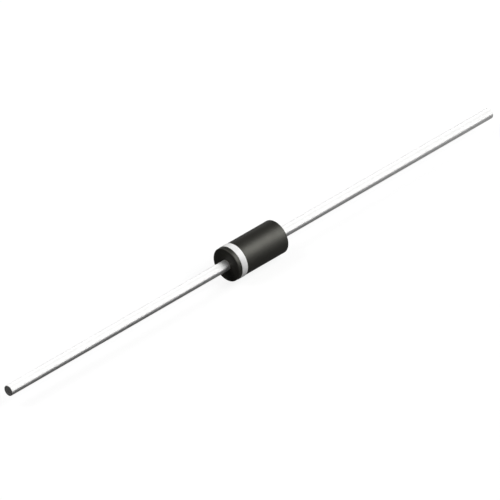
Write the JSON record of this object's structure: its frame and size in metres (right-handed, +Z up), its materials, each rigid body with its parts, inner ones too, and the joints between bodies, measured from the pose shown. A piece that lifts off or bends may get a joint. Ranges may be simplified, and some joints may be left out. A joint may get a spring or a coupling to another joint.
{
  "type": "axial rectifier diode",
  "caption": "Axial rectifier diode: black moulded cylindrical case with a white cathode ring and a straight wire lead out of each end.",
  "frame": {"origin": "centre of the case, halfway along it on the axis of both leads", "axes": "+X along the anode lead, away from the printed cathode ring; +Z up, with the diode lying on its case"},
  "size_m": [0.0502, 0.0028, 0.0028],
  "materials": {
    "moulded_epoxy": "satin black moulded epoxy",
    "ring_ink": "opaque white marking ink",
    "tinned_wire": "bright tin plating on copper wire",
    "silicon": "polished semiconductor, hidden inside the case",
    "solder": "reflowed solder, hidden inside the case",
    "silicone": "cured silicone coating, hidden inside the case"
  },
  "bodies": {
    "root": {"case": "moulded_epoxy", "cathode_band": "ring_ink", "cathode_lead": "tinned_wire", "anode_lead": "tinned_wire", "silicon_chip": "silicon", "cathode_solder": "solder", "anode_solder": "solder", "junction_coating": "silicone"}
  },
  "joints": []
}
